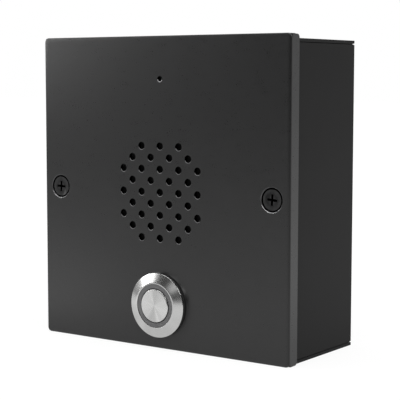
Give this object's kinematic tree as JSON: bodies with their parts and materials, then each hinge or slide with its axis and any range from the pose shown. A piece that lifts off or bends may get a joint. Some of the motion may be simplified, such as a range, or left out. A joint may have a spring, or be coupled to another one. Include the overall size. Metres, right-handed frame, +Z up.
{
  "type": "intercom audio panel",
  "caption": "Surface-mounted door intercom box of folded sheet metal with a round speaker grille, a microphone hole and a lit push button.",
  "frame": {"origin": "on the wall face of the back box, level with the middle of the front cover's height and width", "axes": "+X to the right seen from the front, +Y into the wall (the front faces -Y), +Z up"},
  "size_m": [0.112, 0.0508, 0.115],
  "materials": {
    "black_nylon": "matte moulded",
    "black_zinc": "satin black plated steel",
    "can_aluminium": "drawn can",
    "capacitor_sleeve": "dark sleeve over aluminium",
    "chip_epoxy": "moulded black epoxy",
    "circuit_board": "green solder resist over glass laminate",
    "coil_copper": "enamelled copper winding",
    "cone_paper": "pressed black paper",
    "contact_silver": "silver plated",
    "ferrite": "ground ferrite",
    "foam": "matte closed-cell foam",
    "gold_contact": "gold plated",
    "jack_shield": "tinned sheet",
    "lamp_resin": "clear pale resin",
    "lead_black": "insulated lead, black",
    "lead_red": "insulated lead, red",
    "lead_white": "insulated lead, white",
    "nut_brass": "nickel plated brass",
    "phenolic": "brown laminate",
    "pin_tin": "tin plated",
    "powder_coat": "satin, fine texture, dark grey",
    "red_nylon": "matte moulded",
    "relay_case": "moulded blue",
    "ring_diffuser": "translucent grey, satin",
    "screen_cloth": "fine black woven cloth",
    "seal_rubber": "matte black",
    "spider_cloth": "resin-dipped cloth",
    "spring_steel": "drawn wire",
    "stainless": "turned and brushed stainless",
    "terminal_green": "moulded green",
    "transformer_case": "moulded black",
    "white_nylon": "natural moulded",
    "yoke_steel": "zinc plated low-carbon steel",
    "zinc_steel": "bright zinc plated"
  },
  "bodies": {
    "case": {"front_cover": "powder_coat", "back_box": "powder_coat", "cover_screws": "black_zinc", "clinch_nuts": "zinc_steel", "cover_gasket": "foam", "cable_bushing": "black_nylon", "button_housing": "stainless", "button_gasket": "seal_rubber", "button_light_ring": "ring_diffuser", "return_spring": "spring_steel", "led_board": "circuit_board", "ring_leds": "lamp_resin", "led_pins": "pin_tin", "switch_body": "red_nylon", "switch_contacts": "contact_silver", "button_nut": "nut_brass", "dust_screen": "screen_cloth", "speaker_gasket": "foam", "speaker_frame": "zinc_steel", "speaker_surround": "seal_rubber", "speaker_spider": "spider_cloth", "top_plate": "yoke_steel", "magnet": "ferrite", "yoke": "yoke_steel", "speaker_terminal_board": "phenolic", "speaker_lugs": "pin_tin", "speaker_studs": "zinc_steel", "speaker_washers": "zinc_steel", "speaker_nuts": "zinc_steel", "mic_boot": "seal_rubber", "mic_capsule": "can_aluminium", "main_board": "circuit_board", "board_standoffs": "nut_brass", "board_screws": "zinc_steel", "network_jack": "jack_shield", "jack_contacts": "gold_contact", "terminal_block": "terminal_green", "terminal_screws": "zinc_steel", "relay": "relay_case", "transformer": "transformer_case", "capacitors": "capacitor_sleeve", "inductor": "ferrite", "processor": "chip_epoxy", "memory_chip": "chip_epoxy", "amplifier_chip": "chip_epoxy", "crystal": "can_aluminium", "reset_switch": "black_nylon", "wire_headers": "white_nylon", "wire_plugs": "white_nylon", "speaker_wires": "lead_black", "mic_wires": "lead_red", "button_wires": "lead_white"},
    "button": {"button_cap": "stainless", "button_plunger": "white_nylon", "contact_bridge": "contact_silver"},
    "cone": {"speaker_cone": "cone_paper", "dust_cap": "cone_paper", "voice_coil": "coil_copper"},
    "reset": {"reset_plunger": "white_nylon"}
  },
  "joints": [
    {"name": "button_press", "type": "slide", "parent": "case", "child": "button", "axis": [0, 1, 0], "range_m": [0, 0.002], "stiffness_N_per_m": 1500, "springref_m": -0.001, "deforming": ["return_spring"]},
    {"name": "cone_stroke", "type": "slide", "parent": "case", "child": "cone", "axis": [0, 1, 0], "range_m": [-0.0005, 0.0005], "stiffness_N_per_m": 2500, "deforming": ["speaker_surround", "speaker_spider"]},
    {"name": "reset_press", "type": "slide", "parent": "case", "child": "reset", "axis": [0, -1, 0], "range_m": [0, 0.0003], "stiffness_N_per_m": 3000, "springref_m": -0.0001}
  ]
}
